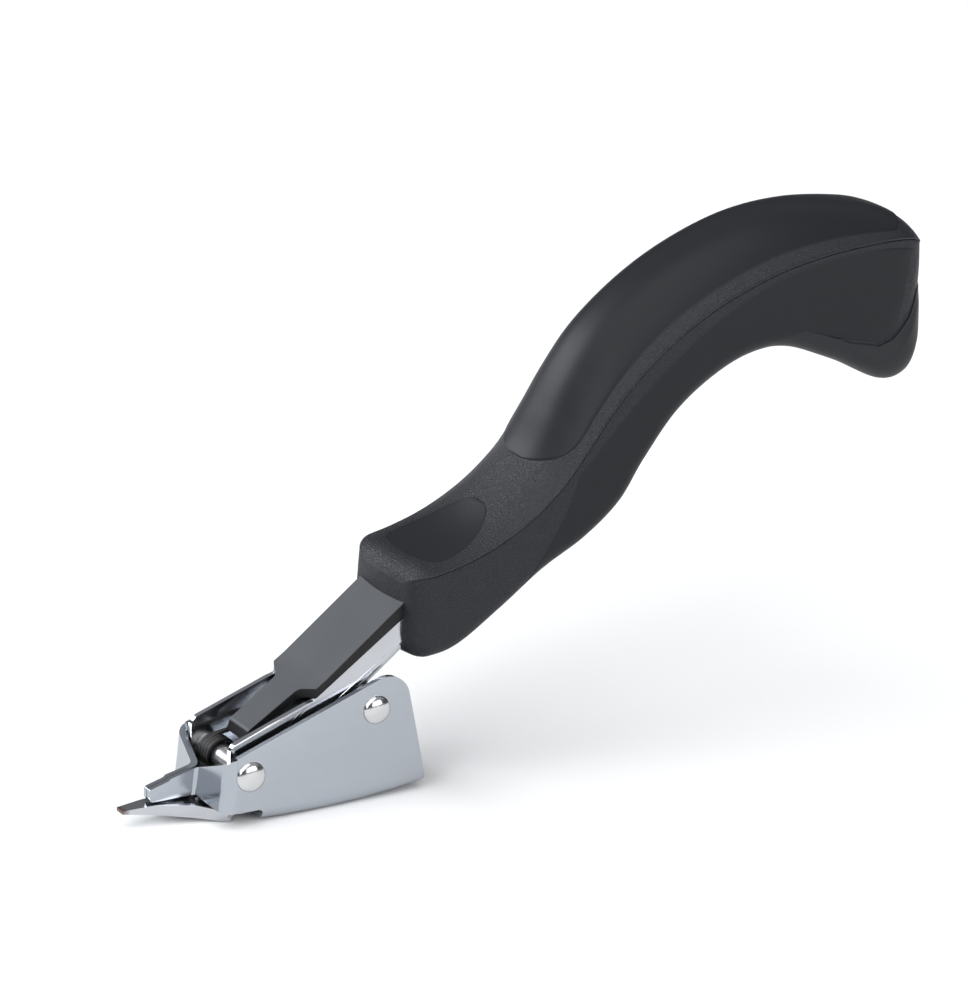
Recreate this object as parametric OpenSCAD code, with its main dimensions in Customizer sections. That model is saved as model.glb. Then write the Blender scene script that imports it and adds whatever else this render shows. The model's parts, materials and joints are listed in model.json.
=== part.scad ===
// Lever staple remover: a folded steel jaw frame with a rocker sole, a sprung lever whose tongue
// closes under a fixed beak, and a curved two-part hand grip moulded over the lever's tang.
// +X runs back to the grip, +Z is up, and the part is symmetric about Y = 0 apart from its spring.
// All shapes are drawn around the pivot axis and seated together on the rocker sole at the end.

/* [Jaw frame] */
// Width over the two side plates
frame_width = 22.8; // [18:0.1:30]
// Thickness of the sheet steel of frame and lever
sheet = 1.2; // [0.8:0.1:1.6]
// Depth of the rocker sole's lowest point below the pivot axis
sole_depth = 10.1; // [9.6:0.1:14]
// Radius of the rocker sole in side view
rocker_radius = 168; // [80:1:400]
// Distance from the pivot axis back to the lowest point of the rocker sole
rocker_low_x = 15.3; // [8:0.1:22]
// Distance from the pivot axis to the back edge of the frame
frame_back = 37.7; // [34:0.1:45]
// Height of the top edge above the pivot axis
frame_top = 5.0; // [4.6:0.1:7]
// Slope of the top edge, in degrees
frame_top_slope = 19.1; // [10:0.1:22]
// Outer radius of the folds along the sole
fold_radius = 2.5; // [2:0.1:4]

/* [Beak] */
// Distance from the pivot axis forward to the tip of the beak
beak_reach = 16.6; // [14:0.1:19]
// Gap between the beak's two halves
beak_gap = 0.2; // [0.1:0.05:0.6]
// Height of the beak at its tip
beak_tip_height = 2.6; // [2:0.1:3.4]
// Depth of the beak's underside below the pivot axis
beak_depth = 5.7; // [5.2:0.1:6]

/* [Lever] */
// Width over the lever's side walls
lever_width = 18; // [16:0.1:18.6]
// Slope of the lever's floor behind the pivot, in degrees
lever_slope = 37; // [34:0.1:40]
// Depth of the lever's floor below the pivot axis, measured square to it
lever_depth = 6.0; // [5.6:0.1:6.6]
// Distance from the pivot axis forward to the tip of the tongue
tongue_reach = 22.4; // [20:0.1:26]
// Width of the tongue at its tip
tongue_tip_width = 2.6; // [2.4:0.1:4]
// Clear height between the beak and the tongue under it
jaw_gap = 0.3; // [0.2:0.05:1]

/* [Rivets] */
// Radius of the two rivet shanks
shank_r = 2.0; // [1.5:0.1:2.2]
// Radius of the pivot rivet's heads
pivot_head_r = 3.05; // [2.6:0.05:4]
// Radius of the rear rivet's heads
rear_head_r = 2.9; // [2.6:0.05:4]
// Height of a rivet head
head_height = 1.3; // [0.8:0.1:2]
// Distance from the pivot axis back to the rear rivet
rear_rivet_x = 27.2; // [24:0.1:30]
// Radial clearance of a shank in its holes
running_fit = 0.05; // [0.02:0.01:0.1]

/* [Spring] */
// Diameter of the spring wire
wire_d = 1.0; // [0.8:0.1:1.2]
// Number of turns of the coil
coil_turns = 4; // [3:1:5]
// Wall of the bush that the coil sits on
bush_wall = 0.4; // [0.3:0.1:0.6]

/* [Grip] */
// Length of the grip along X
grip_length = 120; // [100:1:150]
// Greatest width of the grip core along its seam
grip_width = 27; // [24:0.5:36]
// Thickness of the top cover along its middle
cover_thickness = 2.4; // [1.6:0.1:3.2]
// Wall of the hollow grip core
core_wall = 3.0; // [2:0.1:4]
// Thickness of the bonded pads on the grip
pad_thickness = 0.6; // [0.4:0.1:1]
// Thickness of the pommel pad
pommel_thickness = 1.0; // [0.6:0.1:2]
// Clearance between the tang and the grip core moulded over it
tang_fit = 0.1; // [0.05:0.05:0.3]

/* [Hidden] */
$fn = 48;

chrome = [0.78, 0.79, 0.81];
steel = [0.6, 0.61, 0.63];
blackened = [0.16, 0.16, 0.18];
grain_black = [0.13, 0.13, 0.14];
satin_black = [0.09, 0.09, 0.1];

// ---- Outlines ---------------------------------------------------------------------------------
function unit(v) = v / norm(v);

// Arc points that round the corner b between a and c with radius r
function corner_arc(a, b, c, r, steps) =
    let (u = unit(a - b), v = unit(c - b), half = acos(u * v) / 2, reach = r / tan(half),
         centre = b + unit(u + v) * r / sin(half), from = b + u * reach - centre,
         to = b + v * reach - centre, turn = 180 - 2 * half,
         side = sign(from[0] * to[1] - from[1] * to[0]))
    [for (i = [0 : steps]) let (t = side * turn * i / steps)
        centre + [from[0] * cos(t) - from[1] * sin(t), from[0] * sin(t) + from[1] * cos(t)]];

// A closed outline from corners [x, y, radius], each rounded to its own radius
function rounded(corners, steps = 6) =
    let (n = len(corners))
    [for (i = [0 : n - 1])
        let (p = corners[i], a = corners[(i + n - 1) % n], c = corners[(i + 1) % n])
        each p[2] > 0 ? corner_arc([a[0], a[1]], [p[0], p[1]], [c[0], c[1]], p[2], steps)
                      : [[p[0], p[1]]]];

// A side view outline in X and Z, given width along Y
module across(width) rotate([90, 0, 0]) linear_extrude(width, center = true) children();

// A cross-section in Y and Z, run along X from x0 to x1
module along(x0, x1)
    translate([x0, 0, 0]) rotate([90, 0, 90]) linear_extrude(x1 - x0) children();

// ---- Jaw frame --------------------------------------------------------------------------------
frame_half = frame_width / 2;
frame_inner = frame_half - sheet;
plate_height = 28;
front_fold_x = -2.8;
front_face_x = -5.0;
front_face_sweep = 1.3;
// How far the front faces lean forward towards the sole, in degrees
front_face_lean = 7.4;
function top_edge(x) = frame_top + x * tan(frame_top_slope);
// Depth of the rear rivet below the frame's top edge
rear_rivet_drop = 5.85;
rear_rivet_z = top_edge(rear_rivet_x) - rear_rivet_drop;

// The folded U that the sole and side plates are cut from, swept along the rocker's arc
module rocker_u()
    translate([rocker_low_x, 0, rocker_radius - sole_depth]) rotate([90, 0, 0])
        rotate([0, 0, -102]) rotate_extrude(angle = 24, $fn = 120)
            difference() {
                polygon(rounded([
                    [rocker_radius - plate_height, -frame_half, 0],
                    [rocker_radius, -frame_half, fold_radius],
                    [rocker_radius, frame_half, fold_radius],
                    [rocker_radius - plate_height, frame_half, 0]]));
                polygon(rounded([
                    [rocker_radius - plate_height - 1, -frame_inner, 0],
                    [rocker_radius - sheet, -frame_inner, fold_radius - sheet],
                    [rocker_radius - sheet, frame_inner, fold_radius - sheet],
                    [rocker_radius - plate_height - 1, frame_inner, 0]]));
            }

// Side view of the plates: sloping top, rounded rear corner, leaning back edge
rear_corner_x = frame_back - 4.3;
below_sole = -14;
module plate_outline()
    polygon(rounded([
        [front_fold_x, top_edge(front_fold_x), 0],
        [rear_corner_x, top_edge(rear_corner_x), 5],
        [frame_back, -7.3, 0],
        [frame_back + 0.4, below_sole, 0],
        [front_fold_x, below_sole, 0]], 8));

// The throat in front of the sole where the tongue leaves, cut square to the plates
throat_back = 2.4;
throat_top = -7.1;
module throat()
    across(frame_width + 2)
        polygon(rounded([[-8, below_sole - 2, 0], [throat_back, below_sole - 2, 0],
            [throat_back, throat_top, 0.8], [-8, throat_top, 0]]));

// Plan view of one inward face and its beak half, from the side plate to the beak's tip
module face_plan()
    polygon(rounded([
        [front_fold_x + 2, frame_half, 0],
        [front_face_x, frame_half, fold_radius],
        [front_face_x - front_face_sweep, beak_gap / 2 + sheet, 0.8],
        [-beak_reach, beak_gap / 2 + sheet, 0],
        [-beak_reach, beak_gap / 2, 0],
        [front_face_x - front_face_sweep + sheet, beak_gap / 2, 2],
        [front_face_x + sheet, frame_inner, fold_radius - sheet],
        [front_fold_x + 2, frame_inner, 0]]));

// Front view of the inward faces: the top edge falls from the plates to the beak
beak_root_top = -0.3;
module face_front_view()
    polygon([
        [frame_half + 1, top_edge(front_fold_x) + 0.6],
        [frame_inner, top_edge(front_fold_x) - 1.1],
        [0, beak_root_top - 0.45], [-frame_inner, top_edge(front_fold_x) - 1.1],
        [-frame_half - 1, top_edge(front_fold_x) + 0.6],
        [-frame_half - 1, throat_top], [-1.5, -beak_depth], [1.5, -beak_depth],
        [frame_half + 1, throat_top]]);

// Side view of the beak, with its small step and rounded tip
beak_step_x = -12.1;
module beak_outline()
    polygon(rounded([
        [front_fold_x + 0.3, top_edge(front_fold_x + 0.3), 0],
        [front_face_x, top_edge(front_face_x), 0],
        [-6.8, top_edge(front_face_x), 0],
        [-6.8, beak_root_top - 0.1, 0],
        [beak_step_x, -1.6, 0],
        [beak_step_x - 0.4, -2.0, 0],
        [-beak_reach, -beak_depth + beak_tip_height, 0.3],
        [-beak_reach, -beak_depth + 0.1, 0.7],
        [-beak_reach + 2.4, -beak_depth, 0],
        [-6.8, -beak_depth, 0],
        [-6.8, below_sole, 0],
        [front_fold_x + 0.3, below_sole, 0]]));

module front_faces()
    intersection() {
        rotate([0, front_face_lean, 0]) translate([0, 0, below_sole]) linear_extrude(24) {
            face_plan();
            mirror([0, 1]) face_plan();
        }
        across(frame_width + 2) beak_outline();
        along(-beak_reach - 1, 0) face_front_view();
    }

module frame_holes()
    for (at = [[0, 0], [rear_rivet_x, rear_rivet_z]])
        translate([at[0], 0, at[1]]) rotate([90, 0, 0])
            cylinder(h = frame_width + 2, r = shank_r + running_fit, center = true);

module jaw_frame() color(chrome) seated() difference() {
    union() {
        difference() {
            intersection() {
                rocker_u();
                across(frame_width + 2) plate_outline();
            }
            throat();
        }
        front_faces();
    }
    frame_holes();
}

// ---- Rivets, spacer, washers, bush -------------------------------------------------------------
// A domed head of radius r and height h, its flat face at z = 0
module dome(r, h) {
    ball = (r * r + h * h) / (2 * h);
    rotate_extrude() intersection() {
        translate([0, h - ball]) circle(ball, $fn = 96);
        square([r, h]);
    }
}

module rivet(head_r) {
    cylinder(h = frame_width, r = shank_r, center = true);
    for (side = [0, 1]) mirror([0, 0, side]) translate([0, 0, frame_half]) dome(head_r, head_height);
}

// A ring around the Y axis from y0 to y1
module ring(y0, y1, outer, inner)
    translate([0, y1, 0]) rotate([90, 0, 0]) difference() {
        cylinder(h = y1 - y0, r = outer);
        translate([0, 0, -1]) cylinder(h = y1 - y0 + 2, r = inner);
    }

module at_rear_rivet() translate([rear_rivet_x, 0, rear_rivet_z]) children();

module pivot_rivet() color(chrome) seated() rotate([90, 0, 0]) rivet(pivot_head_r);
module rear_rivet() color(chrome) seated() at_rear_rivet() rotate([90, 0, 0]) rivet(rear_head_r);

// Clearance between the closed lever's floor and the spacer that stops it
stop_gap = 0.1;
side_play = 0.05;
spacer_r = rear_rivet_x * sin(lever_slope) - rear_rivet_z * cos(lever_slope) - lever_depth - stop_gap;
module rear_spacer() color(steel) seated() at_rear_rivet()
    ring(-frame_inner + side_play, frame_inner - side_play, spacer_r, shank_r + running_fit);

lever_half = lever_width / 2;
washer_r = 2.8;
module washer()
    ring(lever_half + side_play, frame_inner - side_play, washer_r, shank_r + running_fit);
module pivot_washer_left() color(steel) seated() mirror([0, 1, 0]) washer();
module pivot_washer_right() color(steel) seated() washer();

bush_r = shank_r + running_fit + bush_wall;
bush_half = lever_half - sheet - side_play;
module pivot_bush() color(steel) seated()
    ring(-bush_half, bush_half, bush_r, shank_r + running_fit);

// ---- Return spring -----------------------------------------------------------------------------
coil_r = bush_r + 0.15 + wire_d / 2;
coil_pitch = wire_d + 0.1;
coil_y0 = 1.2;
wire_sides = 8;
steps_per_turn = 12;
spring_slot_x = [-2.6, 1.6];
front_leg_end = [throat_back - wire_d / 2 - 0.1, -sole_depth + 1.1];
rear_leg_at = 14;
// Where a wire lying on the lever's floor has its middle, s along the floor line
function over_floor(s, h) = [s * cos(lever_slope) - (h - lever_depth) * sin(lever_slope),
    s * sin(lever_slope) + (h - lever_depth) * cos(lever_slope)];
rear_leg_end = over_floor(rear_leg_at, sheet + wire_d / 2 + 0.05);
// Angle at which a straight leg to the point p leaves the coil, on the side given by sense
function leave_angle(p, sense) = atan2(p[1], p[0]) + sense * acos(coil_r / norm(p));
coil_from = leave_angle(front_leg_end, -1);
coil_to = leave_angle(rear_leg_end, 1);
coil_sweep = (coil_to - coil_from) - 360 * coil_turns;
coil_steps = ceil(abs(coil_sweep) / 360 * steps_per_turn);
spring_path = concat(
    [[front_leg_end[0], coil_y0, front_leg_end[1]]],
    [for (i = [0 : coil_steps]) let (a = coil_from + coil_sweep * i / coil_steps)
        [coil_r * cos(a), coil_y0 + coil_pitch * abs(coil_sweep) / 360 * i / coil_steps,
         coil_r * sin(a)]],
    [[rear_leg_end[0], coil_y0 + coil_pitch * abs(coil_sweep) / 360, rear_leg_end[1]]]);

function path_dir(p, i) = unit(p[min(i + 1, len(p) - 1)] - p[max(i - 1, 0)]);
// A round wire of radius r swept along the path p as one closed solid
module wire(p, r) {
    rings = [for (i = [0 : len(p) - 1])
        let (d = path_dir(p, i), side = unit(cross(d, [0, 1, 0.001])), up = cross(side, d))
        for (k = [0 : wire_sides - 1]) let (a = 360 * k / wire_sides)
            p[i] + r * (cos(a) * side + sin(a) * up)];
    last = (len(p) - 1) * wire_sides;
    polyhedron(rings, concat(
        [[for (k = [0 : wire_sides - 1]) k]],
        [for (i = [0 : len(p) - 2], k = [0 : wire_sides - 1])
            let (a = i * wire_sides + k, b = i * wire_sides + (k + 1) % wire_sides)
            each [[a, a + wire_sides, b + wire_sides], [a, b + wire_sides, b]]],
        [[for (k = [wire_sides - 1 : -1 : 0]) last + k]]));
}

module return_spring() color(steel) seated() wire(spring_path, wire_d / 2);

// ---- Lever -------------------------------------------------------------------------------------
// Places its children so that X runs up the lever's floor and Z = 0 is the floor's underside
module on_floor() rotate([0, -lever_slope, 0]) translate([0, 0, -lever_depth]) children();

tang_slope = 27;
tang_bend = 44.6;
tang_length = 29;
tang_height = 5.6;
tang_at = over_floor(tang_bend, 0);
function over_tang(s, h) = tang_at + [s * cos(tang_slope) - h * sin(tang_slope),
    s * sin(tang_slope) + h * cos(tang_slope)];
module on_tang() translate([tang_at[0], 0, tang_at[1]]) rotate([0, -tang_slope, 0]) children();

// Cross-section of the folded lever, h high, open at the top
lever_fold = 2.0;
module lever_u(h) difference() {
    polygon(rounded([[-lever_half, h, 0], [-lever_half, 0, lever_fold],
        [lever_half, 0, lever_fold], [lever_half, h, 0]]));
    polygon(rounded([[-lever_half + sheet, h + 1, 0],
        [-lever_half + sheet, sheet, lever_fold - sheet],
        [lever_half - sheet, sheet, lever_fold - sheet], [lever_half - sheet, h + 1, 0]]));
}

// Side view of the walls: upright front edge, rounded corner, shallow rise, then the steep rise
wall_front = -3.2;
wall_step = [14.8, 11.9];
wall_rear = [32.8, 24.2];
wall_rise = (wall_rear - wall_step) / (wall_rear[0] - wall_step[0]);
// Height of the walls' front part above the frame's top edge
wall_over_frame = 1.9;
function wall_top(x) = top_edge(x) + wall_over_frame;
function on_walls(x) = wall_step[1] + wall_rise[1] * (x - wall_step[0]);
module wall_outline()
    polygon(rounded([
        [wall_front, below_sole, 0],
        [wall_front, wall_top(wall_front), 2.4],
        [wall_step[0] - 1.4, wall_top(wall_step[0] - 1.4), 1],
        [wall_step[0], wall_step[1], 0.6],
        [tang_at[0] + 4, on_walls(tang_at[0] + 4), 0],
        [tang_at[0] + 4, below_sole, 0]]));

// The floor's bend in front of the pivot, where the tongue starts
tongue_top = beak_depth + jaw_gap;
tongue_root = [-3.3, (-lever_depth + sin(lever_slope) * -3.3) / cos(lever_slope)];
tongue_tip_low = [-tongue_reach, -tongue_top - 0.9];

// Side view of the tongue: its flanges' top edge, blunt tip and rising underside
module tongue_outline()
    polygon([
        tongue_tip_low,
        [-tongue_reach, -tongue_top - 0.25],
        [-tongue_reach + 5.4, -tongue_top],
        [-beak_reach + 0.6, -tongue_top],
        [-8.7, -tongue_top - 0.5],
        [-4.7, -tongue_top - 1.6],
        [wall_front + 0.8, -tongue_top - 1.7],
        [wall_front + 0.8, tongue_root[1] + 0.5],
        tongue_root]);

// Half widths of the tongue in plan, from its tip back to the lever's walls
function tongue_half(inset) = [
    [-tongue_reach, tongue_tip_width / 2 - inset],
    [-15.7, 2.2 - inset],
    [-8.7, 4.6 - inset],
    [-4.7, 6.7 - inset],
    [wall_front + 0.4, lever_half - 1.2 - inset],
    [wall_front + 1.2, lever_half - 1.0 - inset]];
module tongue_plan(inset, front)
    intersection() {
        polygon(concat(tongue_half(inset),
            [for (i = [5 : -1 : 0]) [tongue_half(inset)[i][0], -tongue_half(inset)[i][1]]]));
        translate([-front, -20]) square([front, 40]);
    }

tongue_rise = atan2(tongue_tip_low[1] - tongue_root[1], tongue_root[0] - tongue_tip_low[0]);
module tongue() difference() {
    intersection() {
        translate([0, 0, -20]) linear_extrude(20) tongue_plan(0, 30);
        across(frame_width) tongue_outline();
    }
    // The trough between the flanges, a sheet thickness over the underside
    intersection() {
        translate([0, 0, -20]) linear_extrude(24) tongue_plan(sheet, 14.6);
        translate([tongue_root[0], 0, tongue_root[1]]) rotate([0, tongue_rise, 0])
            translate([-30, -20, sheet]) cube([40, 40, 20]);
    }
}

module lever_walls() intersection() {
    on_floor() along(-8, tang_bend + 0.4) lever_u(20);
    across(frame_width) wall_outline();
}

module spring_slot()
    translate([spring_slot_x[0], coil_y0 - wire_d, -14])
        cube([spring_slot_x[1] - spring_slot_x[0], 2 * wire_d, 14 - coil_r - wire_d]);

tang_pin_r = 2;
tang_pins = [9, 22];
module at_tang_pin(i) on_tang() translate([tang_pins[i], 0, tang_height / 2 + 0.2])
    rotate([90, 0, 0]) children();

module lever_channel() color(chrome) seated() difference() {
    union() {
        lever_walls();
        tongue();
        on_tang() along(0, tang_length) lever_u(tang_height);
    }
    rotate([90, 0, 0]) cylinder(h = frame_width, r = shank_r + running_fit, center = true);
    spring_slot();
    for (i = [0, 1]) at_tang_pin(i)
        cylinder(h = frame_width, r = tang_pin_r + running_fit, center = true);
}

// Side view of the blackened plate: it lies on the walls' top edges, its underside follows them,
// and its nose runs down between the walls to curl behind the pivot
plate_top = 7.9;
plate_front = 23.6;
plate_end = 50;
plate_step_x = 15.4;
// Gap under the plate where it lies on the walls
plate_seat = 0.05;
nose_tip = [3.2, 6.2];
module plate_side()
    let (front = over_floor(plate_front, plate_top), end = over_floor(plate_end, plate_top))
    polygon(rounded([
        [end[0], end[1], 0],
        [front[0], front[1], 0],
        [9, 10.0, 0],
        [nose_tip[0], nose_tip[1], 1.6],
        [nose_tip[0] - 0.7, nose_tip[1] - 2.1, 0],
        [nose_tip[0] + 0.5, nose_tip[1] - 2.5, 0],
        [nose_tip[0] + 1.4, nose_tip[1] - 0.9, 0.6],
        [9.6, 8.4, 0],
        [wall_step[0] + 0.8, on_walls(wall_step[0] + 0.8) + plate_seat, 0],
        [end[0] + 1.6, on_walls(end[0] + 1.6) + plate_seat, 0]]));

// Plan view of the plate: as wide as the lever behind the step, narrow in front of it
neck_half = lever_half - 4.4;
nose_half = neck_half - 0.9;
module plate_plan()
    polygon(rounded([
        [-2, -nose_half, 0], [plate_step_x - 1.6, -neck_half, 1.5],
        [plate_step_x, -lever_half, 0], [plate_end, -lever_half, 0],
        [plate_end, lever_half, 0], [plate_step_x, lever_half, 0],
        [plate_step_x - 1.6, neck_half, 1.5], [-2, nose_half, 0]]));

module cover_plate() color(blackened) seated() intersection() {
    across(frame_width) plate_side();
    linear_extrude(50) plate_plan();
}

// ---- Tang block and pins -------------------------------------------------------------------------
block_half = lever_half - sheet - tang_fit;
module tang_block() color(satin_black) seated() difference() {
    on_tang() along(3, tang_length - 1) polygon(rounded([
        [-block_half, tang_height, 0], [-block_half, sheet + 0.05, lever_fold],
        [block_half, sheet + 0.05, lever_fold], [block_half, tang_height, 0]]));
    for (i = [0, 1]) at_tang_pin(i)
        cylinder(h = frame_width, r = tang_pin_r + running_fit, center = true);
}

tang_pin_length = 22;
module tang_pin(i) seated() at_tang_pin(i) cylinder(h = tang_pin_length, r = tang_pin_r, center = true);
module tang_pin_front() color(steel) tang_pin(0);
module tang_pin_rear() color(steel) tang_pin(1);

// ---- Grip --------------------------------------------------------------------------------------
// Stations along the grip from its foot on the lever to the pommel. Each gives the seam under the
// top cover [x, z], the sole of the grip [x, z], the half width as a share of the greatest, and the
// crown's height over the seam. They are drawn for a grip 120 mm long that starts at grip_foot.
grip_foot = [34.0, 18.4];
drawn_length = 120;
stations = [
    [35.6, 34.2, 34.2, 16.9, 0.98, 0.9],
    [44.0, 35.8, 43.6, 18.0, 0.985, 1.2],
    [52.0, 38.4, 53.9, 24.0, 0.985, 2.0],
    [60.0, 42.6, 63.7, 30.6, 0.985, 3.2],
    [67.0, 48.2, 73.2, 35.6, 0.985, 4.4],
    [72.5, 54.6, 81.0, 41.6, 0.985, 5.6],
    [78.0, 61.4, 86.6, 49.4, 0.985, 6.8],
    [85.0, 68.6, 94.0, 58.2, 0.99, 7.8],
    [94.0, 75.2, 102.5, 64.2, 0.99, 8.4],
    [104.0, 80.4, 111.0, 67.6, 1, 8.6],
    [116.0, 84.5, 120.5, 67.8, 1, 8.4],
    [128.0, 86.6, 130.5, 64.2, 1, 7.2],
    [140.0, 87.3, 141.0, 58.8, 0.99, 5.0],
    [146.6, 87.2, 147.0, 58.8, 0.92, 3.2],
    [150.4, 86.4, 150.4, 61.8, 0.78, 1.6],
    [152.4, 84.6, 152.4, 65.5, 0.55, 0.8],
    [153.2, 81.2, 153.2, 70.0, 0.27, 0.3]];
last_station = len(stations) - 1;
steps_per_station = 2;
rings = last_station * steps_per_station;
crown_steps = 10;
crown_fullness = 2.7;
sole_round = 4;
seam_lip = 1.4;
// How far the sides swell halfway between seam and sole
side_swell = 0.2;

// Smooth curve through the stations: t counts stations from the front
function blend(a, b, c, d, u) = 0.5 * (2 * b + (c - a) * u + (2 * a - 5 * b + 4 * c - d) * u * u
    + (3 * b - a - 3 * c + d) * u * u * u);
function station(t) =
    let (i = min(floor(t), last_station - 1), u = t - i)
    blend(stations[max(i - 1, 0)], stations[i], stations[i + 1],
        stations[min(i + 2, last_station)], u);
function grown(p) = grip_foot + (p - grip_foot) * grip_length / drawn_length;

// A ring's frame: [seam point, up direction, depth, half width, crown height]
function ring_frame(i) =
    let (s = station(i / steps_per_station), seam = grown([s[0], s[1]]), sole = grown([s[2], s[3]]))
    [seam, unit(seam - sole), norm(seam - sole), s[4] * grip_width / 2, s[5]];
frames = [for (i = [0 : rings]) ring_frame(i)];
function place(f, y, n) = [f[0][0] + f[1][0] * n, y, f[0][1] + f[1][1] * n];

// Crown points from left to right at the height h over the seam, each lifted by lift
function crown(f, h, lift = 0) = [for (k = [0 : crown_steps])
    let (y = -cos(180 * k / crown_steps))
    place(f, y * f[3], h * (1 - pow(abs(y), crown_fullness)) + lift)];

// Points from the right seam down the side, round the sole and up to the left seam, grown by g
function lower_half(f, g) =
    let (w = f[3] + g, d = f[2] + g, r = min(sole_round, 0.8 * f[3], 0.4 * f[2]) + g)
    [[w, 0], [w, -seam_lip], [w + side_swell, -(seam_lip + d - r) / 2], [w, r - d],
     [w - 0.3 * r, 0.3 * r - d], [w - r, -d]];
function lower(f, g = 0) =
    let (right = lower_half(f, g), n = len(right))
    concat([for (p = right) place(f, p[0], p[1])], [place(f, 0, -f[2] - g)],
        [for (k = [n - 1 : -1 : 0]) place(f, -right[k][0], right[k][1])]);

// A closed solid over loops of points, each loop being one ring. Its squares are split from corner
// to corner, the other way from the point back on, so that two solids drawn in opposite directions
// over the same points meet face to face.
module loft(loops, back) {
    n = len(loops[0]);
    last = (len(loops) - 1) * n;
    polyhedron([for (loop = loops) each loop], concat(
        [[for (k = [0 : n - 1]) k]],
        [for (i = [0 : len(loops) - 2], k = [0 : n - 1])
            let (a = i * n + k, b = i * n + (k + 1) % n)
            each k < back ? [[a, a + n, b + n], [a, b + n, b]]
                          : [[a, a + n, b], [b, a + n, b + n]]],
        [[for (k = [n - 1 : -1 : 0]) last + k]]));
}

inner_crown = [for (f = frames) crown(f, f[4] - cover_thickness)];
outer_crown = [for (f = frames) crown(f, f[4])];
module core_body()
    let (loops = [for (i = [0 : rings])
        concat(lower(frames[i]), [for (k = [1 : crown_steps - 1]) inner_crown[i][k]])])
    loft(loops, len(loops[0]));

module top_cover() color(grain_black) seated()
    loft([for (i = [0 : rings]) concat(outer_crown[i],
        [for (k = [crown_steps - 1 : -1 : 1]) inner_crown[i][k]])], crown_steps);

// Side view of the hollow in the core, open to the top cover
hollow_rings = [9, 26];
hollow_reach = 14;
module hollow_outline()
    polygon(concat(
        [for (i = [hollow_rings[0] : hollow_rings[1]]) frames[i][0] + frames[i][1] * hollow_reach],
        [for (i = [hollow_rings[1] : -1 : hollow_rings[0]])
            frames[i][0] - frames[i][1] * (frames[i][2] - core_wall)]));

// The tang's bed: the lever, its cover plate and the tang, with the clearance all round
tang_turn = lever_slope - tang_slope;
bed_corner = (plate_end + tang_fit - tang_bend - (tang_height + tang_fit) * sin(tang_turn))
    / cos(tang_turn);
bed_front = 30;
module tang_bed() across(2 * (lever_half + tang_fit)) polygon([
    over_floor(bed_front, -tang_fit),
    over_floor(tang_bend, -tang_fit),
    over_tang(tang_length + tang_fit, -tang_fit),
    over_tang(tang_length + tang_fit, tang_height + tang_fit),
    over_tang(bed_corner, tang_height + tang_fit),
    over_floor(plate_end + tang_fit, plate_top + tang_fit),
    over_floor(bed_front, plate_top + tang_fit)]);

module grip_core() color(satin_black) seated() difference() {
    core_body();
    tang_bed();
    across(2 * (grip_width * 0.49 - core_wall)) hollow_outline();
    for (i = [0, 1]) at_tang_pin(i) cylinder(h = tang_pin_length, r = tang_pin_r, center = true);
}

// A pad bonded on the grip: the patch of rings i0 to i1 and points j0 to j1, between two surfaces
module pad(inner, outer, i0, i1, j0, j1)
    loft([for (i = [i0 : i1]) concat([for (j = [j0 : j1]) outer[i][j]],
        [for (j = [j1 : -1 : j0]) inner[i][j]])], j1 - j0 + 1);

raised_crown = [for (f = frames) crown(f, f[4], pad_thickness)];
core_sides = [for (f = frames) lower(f)];
padded_sides = [for (f = frames) lower(f, pad_thickness)];
pommel_sides = [for (f = frames) lower(f, pommel_thickness)];

module thumb_pad() color(satin_black) seated() pad(outer_crown, raised_crown, 1, 5, 2, 8);
module grip_inlay() color(satin_black) seated() pad(outer_crown, raised_crown, 8, 27, 2, 8);
module side_panel_right() color(satin_black) seated() pad(core_sides, padded_sides, 7, 26, 1, 3);
module side_panel_left() color(satin_black) seated() pad(core_sides, padded_sides, 7, 26, 9, 11);
module pommel_pad() color(grain_black) seated() pad(core_sides, pommel_sides, 21, 30, 4, 8);

// ---- Seat ----------------------------------------------------------------------------------------
// The origin is under the middle of the part's length, on the plane that the rocker stands on
grip_back = max([for (f = frames) max(f[0][0], f[0][0] - f[1][0] * f[2])]);
module seated() translate([(tongue_reach - grip_back) / 2, 0, sole_depth]) children();

jaw_frame();
pivot_rivet();
rear_rivet();
rear_spacer();
pivot_washer_left();
pivot_washer_right();
pivot_bush();
return_spring();
lever_channel();
cover_plate();
tang_block();
tang_pin_front();
tang_pin_rear();
grip_core();
top_cover();
thumb_pad();
grip_inlay();
side_panel_left();
side_panel_right();
pommel_pad();
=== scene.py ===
import json
import math

import bmesh
import bpy
import numpy as np
from mathutils import Matrix, Vector


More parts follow.
